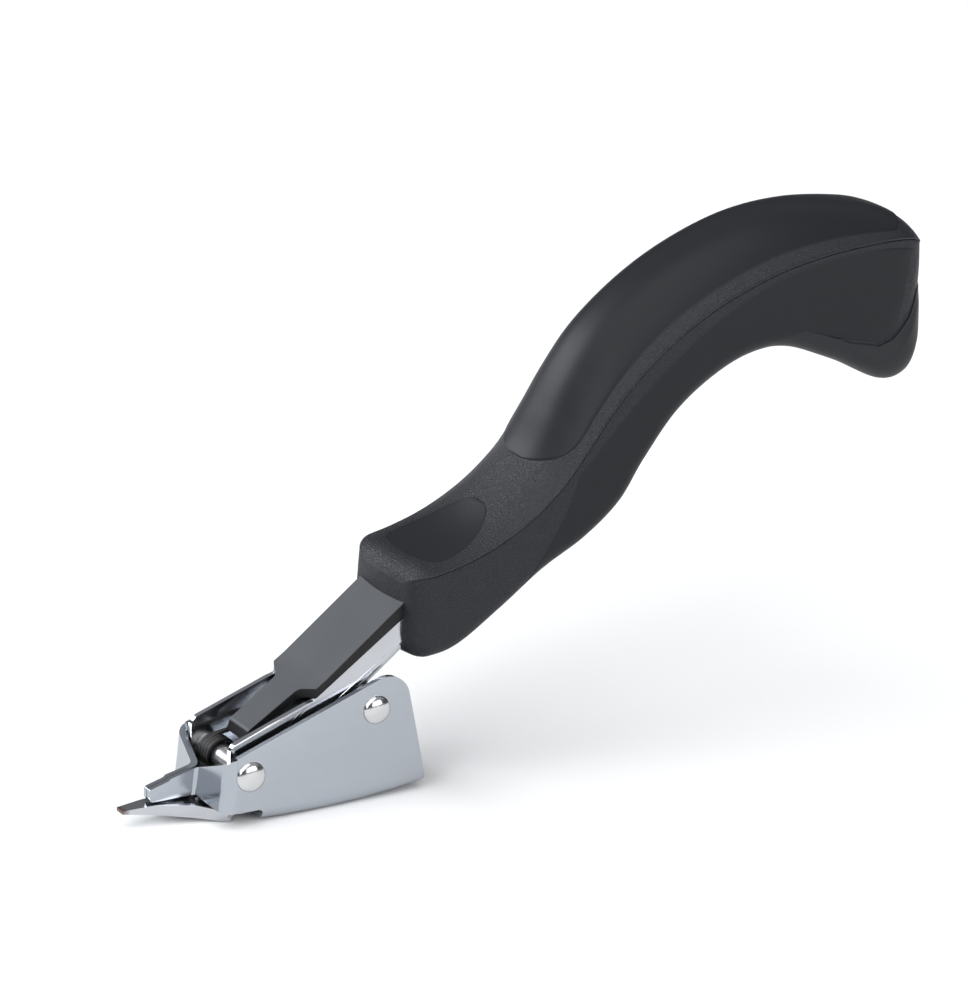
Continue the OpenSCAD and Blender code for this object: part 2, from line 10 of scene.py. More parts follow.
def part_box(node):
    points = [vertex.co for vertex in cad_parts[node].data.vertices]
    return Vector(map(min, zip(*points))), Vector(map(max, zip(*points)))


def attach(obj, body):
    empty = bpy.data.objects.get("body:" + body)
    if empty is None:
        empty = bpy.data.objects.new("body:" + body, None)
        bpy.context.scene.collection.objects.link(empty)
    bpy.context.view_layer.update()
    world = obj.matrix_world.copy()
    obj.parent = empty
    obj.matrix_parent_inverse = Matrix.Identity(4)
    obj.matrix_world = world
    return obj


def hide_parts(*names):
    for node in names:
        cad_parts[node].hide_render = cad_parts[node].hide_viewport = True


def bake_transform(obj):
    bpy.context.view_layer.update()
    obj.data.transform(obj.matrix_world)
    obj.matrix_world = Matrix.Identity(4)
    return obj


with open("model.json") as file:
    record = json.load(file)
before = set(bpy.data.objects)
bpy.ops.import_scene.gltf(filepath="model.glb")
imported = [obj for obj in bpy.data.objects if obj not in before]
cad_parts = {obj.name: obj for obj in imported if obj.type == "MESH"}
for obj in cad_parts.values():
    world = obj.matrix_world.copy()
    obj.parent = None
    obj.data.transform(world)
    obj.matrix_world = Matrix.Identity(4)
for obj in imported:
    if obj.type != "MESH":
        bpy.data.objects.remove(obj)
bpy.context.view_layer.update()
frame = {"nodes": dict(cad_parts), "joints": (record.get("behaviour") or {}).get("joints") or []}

# Looks of the lever staple remover. The grip's surfaces are worked out in millimetres around the
# pivot axis, as its drawing has them, and put in their place in metres at the end.

MM = 0.001
PIVOT = np.array(frame["joints"][0]["pos_m"], float)


def placed(points):
    """Millimetres around the pivot axis to metres in the row frame."""
    return np.asarray(points, float) * MM + PIVOT


def opaque(rgb):
    return (rgb[0], rgb[1], rgb[2], 1)


# ---- Camera, floor and light --------------------------------------------------------------------
CAMERA_TURN = math.radians(-29.2)
CAMERA_RISE = math.radians(18.8)
CAMERA_BACK = 1.0
PIVOT_LEFT_OF_MIDDLE = 0.04994
PIVOT_UNDER_MIDDLE = 0.04956
LENS = 187.2
SENSOR = 36


def make_camera():
    back = Vector((
        math.sin(CAMERA_TURN) * math.cos(CAMERA_RISE),
        -math.cos(CAMERA_TURN) * math.cos(CAMERA_RISE),
        math.sin(CAMERA_RISE)))
    right = Vector((math.cos(CAMERA_TURN), math.sin(CAMERA_TURN), 0))
    up = back.cross(right)
    data = bpy.data.cameras.new("camera")
    data.lens = LENS
    data.sensor_width = SENSOR
    camera = bpy.data.objects.new("camera", data)
    bpy.context.scene.collection.objects.link(camera)
    camera.matrix_world = Matrix((right, up, back)).transposed().to_4x4()
    camera.location = (Vector(PIVOT) + right * PIVOT_LEFT_OF_MIDDLE + up * PIVOT_UNDER_MIDDLE
                       + back * CAMERA_BACK)
    bpy.context.scene.camera = camera


LIT_MIDDLE = (0, 0, 0.05)
# The studio's walls, dark near the floor and paler above: (height as a sine, colour)
WALL_TONES = (
    (0.0, (0.05, 0.052, 0.056)),
    (0.3, (0.09, 0.094, 0.1)),
    (0.62, (0.42, 0.43, 0.45)))


def soft_light(name, place, size, power, tint=(1, 1, 1)):
    data = bpy.data.lights.new(name, "AREA")
    data.shape = "RECTANGLE"
    data.size, data.size_y = size
    data.energy = power
    data.color = tint
    lamp = bpy.data.objects.new(name, data)
    bpy.context.scene.collection.objects.link(lamp)
    lamp.location = place
    lamp.rotation_euler = (Vector(LIT_MIDDLE) - Vector(place)).to_track_quat("-Z", "Y").to_euler()


def overhead_light(direction, power, spread):
    data = bpy.data.lights.new("overhead", "SUN")
    data.energy = power
    data.angle = spread
    lamp = bpy.data.objects.new("overhead", data)
    bpy.context.scene.collection.objects.link(lamp)
    lamp.rotation_euler = (-Vector(direction)).to_track_quat("-Z", "Y").to_euler()


def make_light():
    world = bpy.data.worlds.new("studio")
    bpy.context.scene.world = world
    world.use_nodes = True
    background = world.node_tree.nodes["Background"]
    direction = node(world.node_tree, "ShaderNodeTexCoord").outputs["Generated"]
    height = node(world.node_tree, "ShaderNodeSeparateXYZ", (("Vector", direction),)).outputs["Z"]
    walls = world.node_tree.nodes.new("ShaderNodeValToRGB")
    stops = walls.color_ramp.elements
    stops.new(WALL_TONES[1][0])
    for stop, (at, colour) in zip(stops, WALL_TONES):
        stop.position = at
        stop.color = opaque(colour)
    world.node_tree.links.new(height, walls.inputs[0])
    world.node_tree.links.new(walls.outputs[0], background.inputs["Color"])
    overhead_light(direction=(-0.5, -0.2, 1.0), power=2.25, spread=math.radians(80))
    soft_light("front_left", place=(-0.85, -0.6, 0.5), size=(0.35, 0.6), power=2.6,
               tint=(0.95, 0.98, 1))
    soft_light("front_fill", place=(0.3, -1.1, 0.4), size=(0.9, 0.5), power=6.5)
    soft_light("behind", place=(-0.5, 0.9, 0.5), size=(0.4, 0.4), power=4.5, tint=(0.9, 0.95, 1))
    bpy.context.scene.view_settings.view_transform = "Standard"


FLOOR_REACH = 6.0


def make_floor():
    mesh = bpy.data.meshes.new("floor")
    corners = [(x * FLOOR_REACH, y * FLOOR_REACH, 0) for x, y in ((-1, -1), (1, -1), (1, 1), (-1, 1))]
    mesh.from_pydata(corners, [], [(0, 1, 2, 3)])
    floor = bpy.data.objects.new("floor", mesh)
    bpy.context.scene.collection.objects.link(floor)
    pale = bpy.data.materials.new("pale_floor")
    pale.use_nodes = True
    principled = pale.node_tree.nodes["Principled BSDF"]
    principled.inputs["Base Color"].default_value = (0.88, 0.88, 0.88, 1)
    principled.inputs["Roughness"].default_value = 0.9
    principled.inputs["Specular IOR Level"].default_value = 0.1
    mesh.materials.append(pale)


# ---- Shader node groups -------------------------------------------------------------------------
def start_group(name, inputs, outputs):
    tree = bpy.data.node_groups.new(name, "ShaderNodeTree")
    for label, kind, value in inputs:
        tree.interface.new_socket(label, in_out="INPUT", socket_type=kind).default_value = value
    for label, kind in outputs:
        tree.interface.new_socket(label, in_out="OUTPUT", socket_type=kind)
    return tree, tree.nodes.new("NodeGroupInput"), tree.nodes.new("NodeGroupOutput")


def node(tree, kind, links=(), **settings):
    """Adds a node, sets its properties, and links or sets its inputs from (input, value) pairs."""
    made = tree.nodes.new(kind)
    for key, value in settings.items():
        setattr(made, key, value)
    for key, value in links:
        if isinstance(value, bpy.types.NodeSocket):
            tree.links.new(value, made.inputs[key])
        else:
            made.inputs[key].default_value = value
    return made


def arithmetic(tree, operation, a, b=0.0, clamp=False):
    return node(tree, "ShaderNodeMath", ((0, a), (1, b)), operation=operation,
                use_clamp=clamp).outputs[0]


def object_place(tree):
    return node(tree, "ShaderNodeTexCoord").outputs["Object"]


FLOAT = "NodeSocketFloat"
COLOUR = "NodeSocketColor"


def make_grain_group():
    """Spark-eroded mould grain: fine pebbles with softer lumps under them."""
    tree, given, result = start_group(
        "moulded_grain",
        (("Pebble Scale", FLOAT, 1500.0), ("Lump Share", FLOAT, 0.12),
         ("Colour", COLOUR, (0, 0, 0, 1)), ("Pale Colour", COLOUR, (0, 0, 0, 1))),
        (("Height", FLOAT), ("Colour", COLOUR)))
    place = object_place(tree)
    pebbles = node(tree, "ShaderNodeTexVoronoi",
                   (("Vector", place), ("Scale", given.outputs["Pebble Scale"])), feature="SMOOTH_F1")
    lump_scale = arithmetic(tree, "MULTIPLY", given.outputs["Pebble Scale"], 0.45)
    lumps = node(tree, "ShaderNodeTexNoise", (("Vector", place), ("Scale", lump_scale), ("Detail", 2.0)))
    rough = arithmetic(tree, "MULTIPLY", lumps.outputs["Fac"], given.outputs["Lump Share"])
    height = arithmetic(tree, "ADD", pebbles.outputs["Distance"], rough)
    mix = node(tree, "ShaderNodeMix", ((0, arithmetic(tree, "MULTIPLY", height, 0.8, True)),
                                       (6, given.outputs["Colour"]), (7, given.outputs["Pale Colour"])),
               data_type="RGBA")
    tree.links.new(height, result.inputs["Height"])
    tree.links.new(mix.outputs[2], result.inputs["Colour"])
    return tree


def make_handling_group():
    """Slow changes of gloss where the surface has been handled, as a roughness."""
    tree, given, result = start_group(
        "handling",
        (("Least", FLOAT, 0.3), ("Most", FLOAT, 0.4), ("Scale", FLOAT, 60.0)),
        (("Roughness", FLOAT),))
    clouds = node(tree, "ShaderNodeTexNoise",
                  (("Vector", object_place(tree)), ("Scale", given.outputs["Scale"]), ("Detail", 4.0),
                   ("Roughness", 0.55)))
    spread = node(tree, "ShaderNodeMapRange",
                  ((0, clouds.outputs["Fac"]), (1, 0.3), (2, 0.7), (3, given.outputs["Least"]),
                   (4, given.outputs["Most"])))
    tree.links.new(spread.outputs[0], result.inputs["Roughness"])
    return tree


def make_edge_wear_group():
    """Mixes in a worn colour along outer edges, broken up by fine noise."""
    tree, given, result = start_group(
        "edge_wear",
        (("Colour", COLOUR, (0, 0, 0, 1)), ("Worn Colour", COLOUR, (0, 0, 0, 1)),
         ("Start", FLOAT, 0.53), ("Full", FLOAT, 0.6), ("Amount", FLOAT, 0.5)),
        (("Colour", COLOUR), ("Worn", FLOAT)))
    bend = node(tree, "ShaderNodeNewGeometry").outputs["Pointiness"]
    edge = node(tree, "ShaderNodeMapRange",
                ((0, bend), (1, given.outputs["Start"]), (2, given.outputs["Full"]), (3, 0.0), (4, 1.0)))
    chips = node(tree, "ShaderNodeTexNoise",
                 (("Vector", object_place(tree)), ("Scale", 420.0), ("Detail", 3.0)))
    broken = node(tree, "ShaderNodeMapRange",
                  ((0, chips.outputs["Fac"]), (1, 0.35), (2, 0.65), (3, 0.25), (4, 1.0)))
    worn = arithmetic(tree, "MULTIPLY", edge.outputs[0], broken.outputs[0])
    worn = arithmetic(tree, "MULTIPLY", worn, given.outputs["Amount"], True)
    mix = node(tree, "ShaderNodeMix", ((0, worn), (6, given.outputs["Colour"]),
                                       (7, given.outputs["Worn Colour"])), data_type="RGBA")
    tree.links.new(mix.outputs[2], result.inputs["Colour"])
    tree.links.new(worn, result.inputs["Worn"])
    return tree


def make_plating_group():
    """Plated sheet: faint clouds in the colour, and the low ripples and hairlines of pressed steel."""
    tree, given, result = start_group(
        "plating",
        (("Colour", COLOUR, (0, 0, 0, 1)), ("Cloud Colour", COLOUR, (0, 0, 0, 1)),
         ("Ripple Scale", FLOAT, 120.0), ("Hairline Share", FLOAT, 0.1)),
        (("Colour", COLOUR), ("Height", FLOAT)))
    place = object_place(tree)
    clouds = node(tree, "ShaderNodeTexNoise", (("Vector", place), ("Scale", 90.0), ("Detail", 5.0)))
    mix = node(tree, "ShaderNodeMix", ((0, clouds.outputs["Fac"]), (6, given.outputs["Colour"]),
                                       (7, given.outputs["Cloud Colour"])), data_type="RGBA")
    ripple = node(tree, "ShaderNodeTexNoise",
                  (("Vector", place), ("Scale", given.outputs["Ripple Scale"]), ("Detail", 1.0)))
    drawn = node(tree, "ShaderNodeMapping", (("Vector", place), ("Scale", (60.0, 900.0, 2600.0))))
    hairline = node(tree, "ShaderNodeTexNoise",
                    (("Vector", drawn.outputs[0]), ("Scale", 1.0), ("Detail", 2.0)))
    fine = arithmetic(tree, "MULTIPLY", hairline.outputs["Fac"], given.outputs["Hairline Share"])
    height = arithmetic(tree, "ADD", ripple.outputs["Fac"], fine)
    tree.links.new(mix.outputs[2], result.inputs["Colour"])
    tree.links.new(height, result.inputs["Height"])
    return tree


GRAIN = make_grain_group()
HANDLING = make_handling_group()
EDGE_WEAR = make_edge_wear_group()
PLATING = make_plating_group()


# ---- Materials ----------------------------------------------------------------------------------
def placed_group(tree, group, values):
    made = tree.nodes.new("ShaderNodeGroup")
    made.node_tree = group
    for key, value in values.items():
        if isinstance(value, bpy.types.NodeSocket):
            tree.links.new(value, made.inputs[key])
        else:
            made.inputs[key].default_value = value
    return made


def start_material(name, metallic, **fixed):
    material = bpy.data.materials.new(name)
    material.use_nodes = True
    tree = material.node_tree
    principled = tree.nodes["Principled BSDF"]
    principled.inputs["Metallic"].default_value = metallic
    for key, value in fixed.items():
        principled.inputs[key.replace("_", " ")].default_value = value
    return material, tree, principled


def raise_surface(tree, principled, height, strength, depth):
    bump = node(tree, "ShaderNodeBump", (("Height", height), ("Strength", strength), ("Distance", depth)))
    tree.links.new(bump.outputs[0], principled.inputs["Normal"])


def plated_metal(name, colour, cloud, gloss, ripple, worn, wear_amount, hairline=0.1):
    """Gloss is the least and most roughness; ripple is its scale, strength and depth."""
    ripple_scale, ripple_strength, ripple_depth = ripple
    material, tree, principled = start_material(name, 1.0)
    plating = placed_group(tree, PLATING, {
        "Colour": opaque(colour), "Cloud Colour": opaque(cloud), "Ripple Scale": ripple_scale,
        "Hairline Share": hairline})
    wear = placed_group(tree, EDGE_WEAR, {
        "Colour": plating.outputs["Colour"], "Worn Colour": opaque(worn), "Amount": wear_amount})
    handling = placed_group(tree, HANDLING, {"Least": gloss[0], "Most": gloss[1], "Scale": 30.0})
    tree.links.new(wear.outputs["Colour"], principled.inputs["Base Color"])
    tree.links.new(handling.outputs["Roughness"], principled.inputs["Roughness"])
    raise_surface(tree, principled, plating.outputs["Height"], ripple_strength, ripple_depth)
    return material


def moulded_plastic(name, colour, pale, gloss, grain, worn, shine=0.26):
    """Gloss is the least and most roughness; grain is its scale, strength and depth."""
    grain_scale, grain_strength, grain_depth = grain
    material, tree, principled = start_material(name, 0.0, Specular_IOR_Level=shine)
    pebbled = placed_group(tree, GRAIN, {
        "Pebble Scale": grain_scale, "Colour": opaque(colour), "Pale Colour": opaque(pale)})
    wear = placed_group(tree, EDGE_WEAR, {
        "Colour": pebbled.outputs["Colour"], "Worn Colour": opaque(worn), "Amount": 0.5})
    handling = placed_group(tree, HANDLING, {"Least": gloss[0], "Most": gloss[1], "Scale": 70.0})
    tree.links.new(wear.outputs["Colour"], principled.inputs["Base Color"])
    tree.links.new(handling.outputs["Roughness"], principled.inputs["Roughness"])
    raise_surface(tree, principled, pebbled.outputs["Height"], grain_strength, grain_depth)
    return material


BARE_FROM = 0.0024
BARE_FULL = 0.0012
BARE_RAGGED = 0.0016
BROWNED = (0.19, 0.14, 0.12)
DULLED = 0.5


def lever_plating():
    """The lever's plating, with the bare, browned steel of the tongue's tip."""
    tip_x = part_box("lever_channel")[0].x
    material = plated_metal(
        "lever_chrome", colour=(0.56, 0.575, 0.6), cloud=(0.46, 0.47, 0.5), gloss=(0.1, 0.2),
        ripple=(60.0, 0.2, 0.00006), worn=(0.42, 0.41, 0.4), wear_amount=0.08)
    tree = material.node_tree
    principled = tree.nodes["Principled BSDF"]
    plated = principled.inputs["Base Color"].links[0].from_socket
    gloss = principled.inputs["Roughness"].links[0].from_socket
    place = node(tree, "ShaderNodeSeparateXYZ", (("Vector", object_place(tree)),)).outputs["X"]
    speckle = node(tree, "ShaderNodeTexNoise",
                   (("Vector", object_place(tree)), ("Scale", 1300.0), ("Detail", 3.0)))
    ragged = arithmetic(tree, "MULTIPLY", speckle.outputs["Fac"], BARE_RAGGED)
    reach = arithmetic(tree, "ADD", place, ragged)
    bare = node(tree, "ShaderNodeMapRange",
                ((0, reach), (1, tip_x + BARE_FROM), (2, tip_x + BARE_FULL), (3, 0.0), (4, 1.0)))
    browned = node(tree, "ShaderNodeMix", ((0, bare.outputs[0]), (6, plated), (7, opaque(BROWNED))),
                   data_type="RGBA")
    dulled = node(tree, "ShaderNodeMix", ((0, bare.outputs[0]), (2, gloss), (3, DULLED)),
                  data_type="FLOAT")
    tree.links.new(browned.outputs[2], principled.inputs["Base Color"])
    tree.links.new(dulled.outputs[0], principled.inputs["Roughness"])
    return material


def make_materials():
    return {
        "frame_chrome": plated_metal(
            "frame_chrome", colour=(0.405, 0.43, 0.468), cloud=(0.4, 0.425, 0.463),
            gloss=(0.17, 0.19), ripple=(14.0, 0.1, 0.0001), worn=(0.62, 0.63, 0.65),
            wear_amount=0.06, hairline=0.05),
        "lever_chrome": lever_plating(),
        "rivet_chrome": plated_metal(
            "rivet_chrome", colour=(0.62, 0.625, 0.63), cloud=(0.58, 0.58, 0.58),
            gloss=(0.15, 0.2), ripple=(240.0, 0.2, 0.00003), worn=(0.55, 0.54, 0.52),
            wear_amount=0.2),
        "plain_steel": plated_metal(
            "plain_steel", colour=(0.4, 0.39, 0.38), cloud=(0.32, 0.31, 0.31), gloss=(0.25, 0.4),
            ripple=(300.0, 0.2, 0.00004), worn=(0.65, 0.65, 0.66), wear_amount=0.5, hairline=0.5),
        # Near-black spring steel, darkened also as painted shade, so that the coil sinks into the shade
        # between the frame's walls
        "spring_steel": plated_metal(
            "spring_steel", colour=(0.06, 0.058, 0.058), cloud=(0.04, 0.04, 0.04),
            gloss=(0.3, 0.45), ripple=(500.0, 0.2, 0.00003), worn=(0.15, 0.15, 0.15),
            wear_amount=0.4),
        "blackened_steel": blackened_metal(),
        "block_plastic": moulded_plastic(
            "block_plastic", colour=(0.02, 0.02, 0.022), pale=(0.03, 0.03, 0.032),
            gloss=(0.5, 0.6), grain=(1200.0, 0.3, 0.00005), worn=(0.05, 0.05, 0.055)),
        "core_plastic": moulded_plastic(
            "core_plastic", colour=(0.0085, 0.0088, 0.0108), pale=(0.022, 0.0228, 0.028),
            gloss=(0.46, 0.56), grain=(3700.0, 1.0, 0.00016), worn=(0.035, 0.036, 0.04)),
        "grained_plastic": moulded_plastic(
            "grained_plastic", colour=(0.0078, 0.0081, 0.0104), pale=(0.017, 0.0177, 0.0228),
            gloss=(0.38, 0.46), grain=(3900.0, 1.0, 0.00016), worn=(0.035, 0.036, 0.041),
            shine=0.34),
        "satin_plastic": moulded_plastic(
            "satin_plastic", colour=(0.0092, 0.0096, 0.0118), pale=(0.0115, 0.012, 0.0148),
            gloss=(0.4, 0.46), grain=(3600.0, 0.2, 0.00003), worn=(0.03, 0.031, 0.035),
            shine=0.2),
        "pommel_plastic": moulded_plastic(
            "pommel_plastic", colour=(0.011, 0.0114, 0.0138), pale=(0.014, 0.0145, 0.0175),
            gloss=(0.42, 0.5), grain=(1800.0, 0.2, 0.00004), worn=(0.03, 0.031, 0.035)),
    }


PLATE_SLOPE = math.radians(37)
# Painted light: the lit satin grey painted on the cover plate's top face, and its faint clouds
PAINTED_LIT_GREY = (0.054, 0.0565, 0.063)
PAINTED_LIT_CLOUD = (0.048, 0.0505, 0.057)
OXIDE_BLACK = (0.003, 0.003, 0.0035)
OXIDE_WORN = (0.06, 0.06, 0.065)


def blackened_metal():
    """Black oxide, with painted light on the plate's top face: faces that look up along the top are
    painted a lit satin grey.
    """
    material, tree, principled = start_material("blackened_steel", 0.0, Specular_IOR_Level=0.3)
    plating = placed_group(tree, PLATING, {
        "Colour": opaque(PAINTED_LIT_GREY), "Cloud Colour": opaque(PAINTED_LIT_CLOUD),
        "Ripple Scale": 260.0, "Hairline Share": 0.3})
    # Painted light: faces turned up like the plate's top get the lit grey, and the sides keep the oxide
    # black
    facing = node(tree, "ShaderNodeVectorMath",
                  ((0, node(tree, "ShaderNodeTexCoord").outputs["Normal"]),
                   (1, (-math.sin(PLATE_SLOPE), 0.0, math.cos(PLATE_SLOPE)))), operation="DOT_PRODUCT")
    painted_lit_top = node(tree, "ShaderNodeMapRange",
                      ((0, facing.outputs["Value"]), (1, 0.9), (2, 0.97), (3, 0.0), (4, 1.0)))
    oxide = node(tree, "ShaderNodeMix",
                 ((0, painted_lit_top.outputs[0]), (6, opaque(OXIDE_BLACK)),
                  (7, plating.outputs["Colour"])), data_type="RGBA")
    wear = placed_group(tree, EDGE_WEAR, {
        "Colour": oxide.outputs[2], "Worn Colour": opaque(OXIDE_WORN), "Amount": 0.15})
    handling = placed_group(tree, HANDLING, {"Least": 0.38, "Most": 0.48, "Scale": 80.0})
    tree.links.new(wear.outputs["Colour"], principled.inputs["Base Color"])
    tree.links.new(handling.outputs["Roughness"], principled.inputs["Roughness"])
    raise_surface(tree, principled, plating.outputs["Height"], 0.15, 0.00004)
    return material


# ---- Mesh helpers -------------------------------------------------------------------------------
SMOOTH_UNDER = math.radians(38)


def finish_piece(piece, body, slot, replaced, materials, smooth=True):
    mesh = piece.data
    mesh.materials.clear()
    mesh.materials.append(materials[slot])
    for face in mesh.polygons:
        face.material_index = 0
    if smooth:
        mesh.shade_smooth()
        mesh.set_sharp_from_angle(angle=SMOOTH_UNDER)
    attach(piece, body)
    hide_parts(*replaced)


def mesh_piece(name, points, faces):
    mesh = bpy.data.meshes.new(name)
    mesh.from_pydata([tuple(p) for p in points], [], faces)
    mesh.validate()
    piece = bpy.data.objects.new(name, mesh)
    bpy.context.scene.collection.objects.link(piece)
    return piece


def frozen(piece):
    """The piece with its modifiers worked into a plain mesh."""
    seen = piece.evaluated_get(bpy.context.evaluated_depsgraph_get())
    mesh = bpy.data.meshes.new_from_object(seen)
    old = piece.data
    piece.modifiers.clear()
    piece.data = mesh
    mesh.name = piece.name
    bpy.data.meshes.remove(old)
    return piece


def outward(mesh):
    """Merges doubles and turns every face outwards."""
    work = bmesh.new()
    work.from_mesh(mesh)
    bmesh.ops.remove_doubles(work, verts=work.verts, dist=1e-6)
    bmesh.ops.recalc_face_normals(work, faces=work.faces)
    work.to_mesh(mesh)
    work.free()


def tube_of_rings(name, rings):
    """A closed skin over rings of points, each ring closed, with flat fans at both ends."""
    rings = np.asarray(rings, float)
    count, size = rings.shape[:2]
    points = placed(rings.reshape(-1, 3))
    ends = placed(np.array([rings[0].mean(0), rings[-1].mean(0)]))
    points = np.vstack([points, ends])
    faces = []
    for i in range(count - 1):
        for k in range(size):
            a, b = i * size + k, i * size + (k + 1) % size
            faces.append((a, b, b + size, a + size))
    first, last = count * size, count * size + 1
    for k in range(size):
        faces.append((first, (k + 1) % size, k))
        faces.append((last, (count - 1) * size + k, (count - 1) * size + (k + 1) % size))
    piece = mesh_piece(name, points, faces)
    outward(piece.data)
    return piece


# Corners sharper than this are eased, with this many steps round each
EASE_FROM = math.radians(40)
EASE_STEPS = 3
FLAT_WITHIN = math.radians(1.0)
SAME_POINT = 2e-6


def eased_copy(node_name, piece_name, width):
    """A copy of a CAD node with its flats made whole and its sharp edges rounded over."""
    mesh = frame["nodes"][node_name].data.copy()
    mesh.name = piece_name
    work = bmesh.new()
    work.from_mesh(mesh)
    bmesh.ops.remove_doubles(work, verts=work.verts, dist=SAME_POINT)
    bmesh.ops.dissolve_limit(work, angle_limit=FLAT_WITHIN, verts=work.verts, edges=work.edges)
    work.to_mesh(mesh)
    work.free()
    piece = bpy.data.objects.new(piece_name, mesh)
    bpy.context.scene.collection.objects.link(piece)
    ease = piece.modifiers.new("ease", "BEVEL")
    ease.limit_method = "ANGLE"
    ease.angle_limit = EASE_FROM
    ease.width = width
    ease.segments = EASE_STEPS
    ease.use_clamp_overlap = True
    frozen(piece)
    piece.data.shade_smooth()
    piece.data.set_sharp_from_angle(angle=SMOOTH_UNDER)
    flats = piece.modifiers.new("flats", "WEIGHTED_NORMAL")
    flats.mode = "FACE_AREA"
    flats.weight = 100
    flats.keep_sharp = True
    return frozen(piece)


# ---- The grip's surface -------------------------------------------------------------------------
# Rows along the grip: seam under the cover [x, z], sole [x, z], share of the width, crown's height
GRIP_ROWS = np.array([
    [35.6, 34.2, 34.2, 16.9, 0.98, 0.9],
    [44.0, 35.8, 43.6, 18.0, 0.985, 1.2],
    [52.0, 38.4, 53.9, 24.0, 0.985, 2.0],
    [60.0, 42.6, 63.7, 30.6, 0.985, 3.2],
    [67.0, 48.2, 73.2, 35.6, 0.985, 4.4],
    [72.5, 54.6, 81.0, 41.6, 0.985, 5.6],
    [78.0, 61.4, 86.6, 49.4, 0.985, 6.8],
    [85.0, 68.6, 94.0, 58.2, 0.99, 7.8],
    [94.0, 75.2, 102.5, 64.2, 0.99, 8.4],
    [104.0, 80.4, 111.0, 67.6, 1, 8.6],
    [116.0, 84.5, 120.5, 67.8, 1, 8.4],
    [128.0, 86.6, 130.5, 64.2, 1, 7.2],
    [140.0, 87.3, 141.0, 58.8, 0.99, 5.0],
    [146.6, 86.8, 147.0, 58.8, 0.92, 3.6],
    [150.4, 85.4, 150.4, 61.8, 0.78, 2.5],
    [152.4, 83.2, 152.4, 65.5, 0.55, 1.7],
    [153.2, 79.8, 153.2, 70.0, 0.27, 0.8]])
LAST_ROW = len(GRIP_ROWS) - 1
GRIP_HALF = 13.5
# The finished sides stand this far over the drawn half width
SIDE_SKIN = 0.3
COVER_THICKNESS = 2.4
CROWN_FULLNESS = 2.7
SOLE_ROUND = 4.0
SOLE_CAMBER = 0.25
SIDE_SWELL = 0.2
# The core's sides begin this far under the seam
SHOULDER = 0.35
# Plan radius of the grip's front corners, the round of its top lip and how far its face bulges
FRONT_CORNER = 4.0
FRONT_LIP = 3.0
FRONT_BULGE = 1.0
BULGE_FADES = 7.0
LIP_AT_SIDES = 0.55
SEAM_GROOVE = 0.35
SEAM_LIP = 0.34


def grip_row(t):
    i = int(min(max(math.floor(t), 0), LAST_ROW - 1))
    u = t - i
    a, b = GRIP_ROWS[max(i - 1, 0)], GRIP_ROWS[i]
    c, d = GRIP_ROWS[i + 1], GRIP_ROWS[min(i + 2, LAST_ROW)]
    return 0.5 * (2 * b + (c - a) * u + (2 * a - 5 * b + 4 * c - d) * u ** 2
                  + (3 * b - a - 3 * c + d) * u ** 3)


# Distance along the seam, S, against the row number, T
SEAM_T = np.linspace(0, LAST_ROW, 400)
SEAM_LINE = np.array([grip_row(t)[0:2] for t in SEAM_T])
SEAM_S = np.concatenate([[0], np.cumsum(np.linalg.norm(np.diff(SEAM_LINE, axis=0), axis=1))])


def t_at(s):
    return float(np.interp(s, SEAM_S, SEAM_T))


def smooth_step(x):
    x = min(max(x, 0.0), 1.0)
    return x * x * (3 - 2 * x)


def rear_draw(t):
    """How far the core and cover draw in over the pommel's flare at the back."""
    return 0.7 * smooth_step((t - 12.5) / 3.0)


class Ring:
    """The grip's cross-section at t, with y across and n up from the seam."""

    def __init__(self, t):
        row = grip_row(t)
        self.t = t
        self.seam = row[0:2]
        rise = row[0:2] - row[2:4]
        self.depth = float(np.linalg.norm(rise))
        self.up = rise / self.depth
        self.wide = float(row[4]) * GRIP_HALF + SIDE_SKIN
        self.half = self.wide - rear_draw(t)
        self.crown = float(row[5])
        self.s = float(np.interp(t, SEAM_T, SEAM_S))

    def point(self, y, n, push=0.0):
        """A point, pushed forwards along the grip by push."""
        x, z = self.seam + self.up * n + np.array([-self.up[1], self.up[0]]) * push
        return (x, y, z)


THUMB_MIDDLE = 13.0
THUMB_DISH = 0.75
THUMB_LENGTH = 8.5
THUMB_WIDTH = 8.0


def sole_radius(half, depth):
    return min(SOLE_ROUND, 0.8 * half, 0.4 * depth)


def crown_n(ring, y, half):
    """Height of the cover's outer surface over the seam, with the dish for the thumb."""
    share = min(abs(y) / half, 1.0)
    dish = THUMB_DISH * math.exp(-((ring.s - THUMB_MIDDLE) / THUMB_LENGTH) ** 2 - (y / THUMB_WIDTH) ** 2)
    return ring.crown * (1 - share ** CROWN_FULLNESS) - dish


def corner_inset(distance, radius):
    """How far a rounded end of this radius has drawn in at a distance from the end."""
    if distance >= radius:
        return 0.0
    return radius - math.sqrt(radius ** 2 - (radius - distance) ** 2)


def end_distances(radius, steps):
    return [radius * (1 - math.cos(math.pi / 2 * k / steps)) for k in range(steps)]


def front_bulge(y, half, distance):
    return FRONT_BULGE * max(0.0, 1 - (y / half) ** 2) * max(0.0, 1 - distance / BULGE_FADES) ** 2


def front_shaped(outline, distance, ring, shrunk=1.0):
    """A ring of the grip in place, shrunk to its middle where it belongs to the front face."""
    half = ring.wide
    middle = sum(n for _, n in outline) / len(outline)
    return [ring.point(y * shrunk, middle + (n - middle) * shrunk,
                       front_bulge(y * shrunk, half, distance)) for y, n in outline]


CAP_STEPS = 9


FOLD_BACK = 1.5


